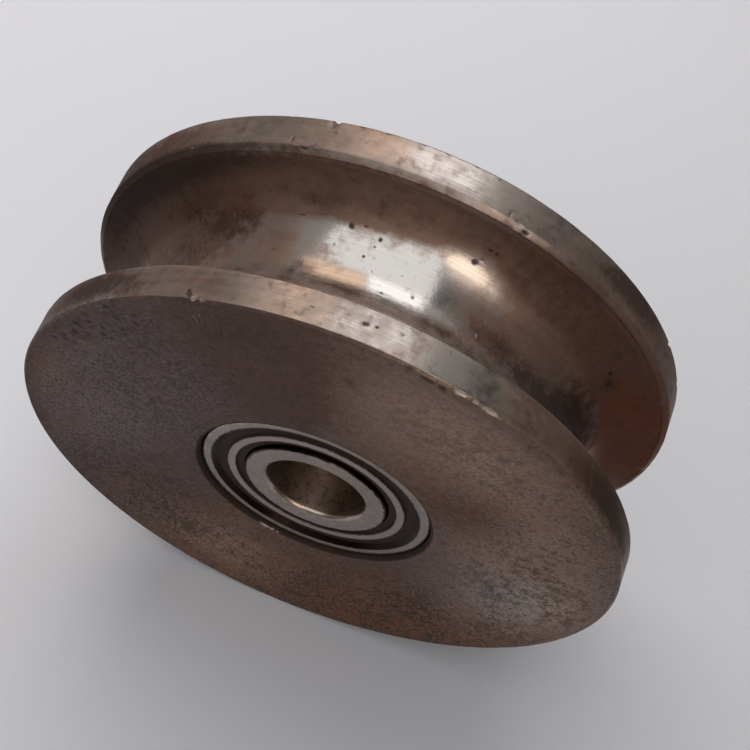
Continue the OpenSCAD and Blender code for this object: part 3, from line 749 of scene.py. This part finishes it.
# The bench: a pale painted top, level with the lowest point of the wheel, which stands on its rims.
# It is one flat board with a half-matt coat.
bench_half = 3
bench_paint = bpy.data.materials.new("pale_bench")
bench_paint.use_nodes = True
shader = bench_paint.node_tree.nodes["Principled BSDF"]
shader.inputs["Base Color"].default_value = (0.765, 0.80, 0.872, 1)
shader.inputs["Roughness"].default_value = 0.55
mesh = bpy.data.meshes.new("bench_top")
mesh.from_pydata([(x * bench_half, y * bench_half, -rim_r) for x, y in ((-1, -1), (1, -1), (1, 1), (-1, 1))],
                 [], [(0, 1, 2, 3)])
mesh.materials.append(bench_paint)
bench = bpy.data.objects.new("bench_top", mesh)
bpy.context.scene.collection.objects.link(bench)


# The lights: soft boxes and warm reflectors side by side overhead, looking down, and one warm wall at the left.
# Each row is the box's reach in x and in y for a height of 1, how bright it is, its colour, and whether
# it lights matt surfaces and shows in shiny ones. Each hangs a little higher than the one before.
light_height = 0.5
shiny_top = 0.045
hang_step = 0.004
for layer_up, (name, x0, x1, y0, y1, radiance, colour, lights_matt, seen_in_shine) in enumerate((
        ("main_box", -0.85, 0.27, -1.45, 0.40, 0.98, (1, 1, 1), True, True),
        ("main_box_shine", -0.85, 0.27, -1.45, 0.40, 0.36, (1, 1, 1), False, True),
        ("back_key", -1.30, -0.40, 0.15, 1.15, 2.3, (1, 1, 1), True, False),
        ("back_box", -0.30, 0.27, 0.40, 2.2, 2.0, (1, 1, 1), True, True),
        ("warm_left", -1.15, -0.32, 0.44, 2.3, 1.45, (1, 0.72, 0.52), True, True),
        ("right_fill", 0.29, 0.80, 0.5, 2.4, 0.42, (1, 0.97, 0.95), True, True),
        ("back_low", -0.30, 0.27, 2.25, 4.0, 0.55, (1, 0.95, 0.90), False, True),
        ("left_fill", -1.75, -0.87, -1.3, 0.6, 0.31, (1, 0.92, 0.84), True, True),
        ("warm_mid", 0.33, 0.95, -0.93, -0.60, 0.30, (1, 0.85, 0.74), False, True),
        ("warm_mid_fade", 0.33, 1.1, -0.95, -0.35, 0.22, (1, 0.87, 0.78), False, True),
        ("warm_low_fade", 0.35, 1.3, -0.95, -0.05, 0.13, (1, 0.90, 0.82), False, True),
        ("warm_front", 0.32, 1.0, -2.6, -0.95, 2.1, (1, 0.82, 0.68), False, True),
        ("warm_wide", 0.33, 2.0, -2.6, -0.50, 0.45, (1, 0.82, 0.68), True, True))):
    lamp = bpy.data.lights.new(name, "AREA")
    lamp.shape = "RECTANGLE"
    lamp.size = (x1 - x0) * light_height
    lamp.size_y = (y1 - y0) * light_height
    lamp.energy = radiance * math.pi * lamp.size * lamp.size_y
    lamp.color = colour
    holder = bpy.data.objects.new(name, lamp)
    holder.location = ((x0 + x1) / 2 * light_height, (y0 + y1) / 2 * light_height,
                       light_height + shiny_top + hang_step * layer_up)
    holder.visible_diffuse = lights_matt
    holder.visible_glossy = seen_in_shine
    bpy.context.scene.collection.objects.link(holder)

wall_radiance = 0.16
wall_lamp = bpy.data.lights.new("left_wall", "AREA")
wall_lamp.shape = "RECTANGLE"
wall_lamp.size = 3.0
wall_lamp.size_y = 0.9
wall_lamp.energy = wall_radiance * math.pi * wall_lamp.size * wall_lamp.size_y
wall_lamp.color = (1, 0.86, 0.70)
holder = bpy.data.objects.new("left_wall", wall_lamp)
holder.matrix_world = Matrix(((0, 0, -1, -1.5), (1, 0, 0, 0.2), (0, -1, 0, 0.55), (0, 0, 0, 1)))
bpy.context.scene.collection.objects.link(holder)

world = bpy.data.worlds.new("room")
world.use_nodes = True
world.node_tree.nodes["Background"].inputs["Color"].default_value = (0.088, 0.082, 0.078, 1)
bpy.context.scene.world = world


# The camera: held above and in front of the wheel, tilted down and rolled over to its right.
camera_place = Vector((0.0019814, -0.1437742, 0.2733528))
tilt, roll = math.radians(60.86), math.radians(22.89)
camera_data = bpy.data.cameras.new("camera")
camera_data.lens = 75.235
camera_data.sensor_width = 36
camera_data.sensor_fit = "HORIZONTAL"
camera = bpy.data.objects.new("camera", camera_data)
forward = Vector((0, math.cos(tilt), -math.sin(tilt)))
level_up = Vector((0, math.sin(tilt), math.cos(tilt)))
level_right = Vector((1, 0, 0))
right = level_right * math.cos(roll) + level_up * math.sin(roll)
up = level_up * math.cos(roll) - level_right * math.sin(roll)
camera.matrix_world = Matrix.LocRotScale(
    camera_place, Matrix((right, up, -forward)).transposed().to_quaternion(), None)
bpy.context.scene.collection.objects.link(camera)
bpy.context.scene.camera = camera
bpy.context.scene.view_settings.view_transform = "Standard"
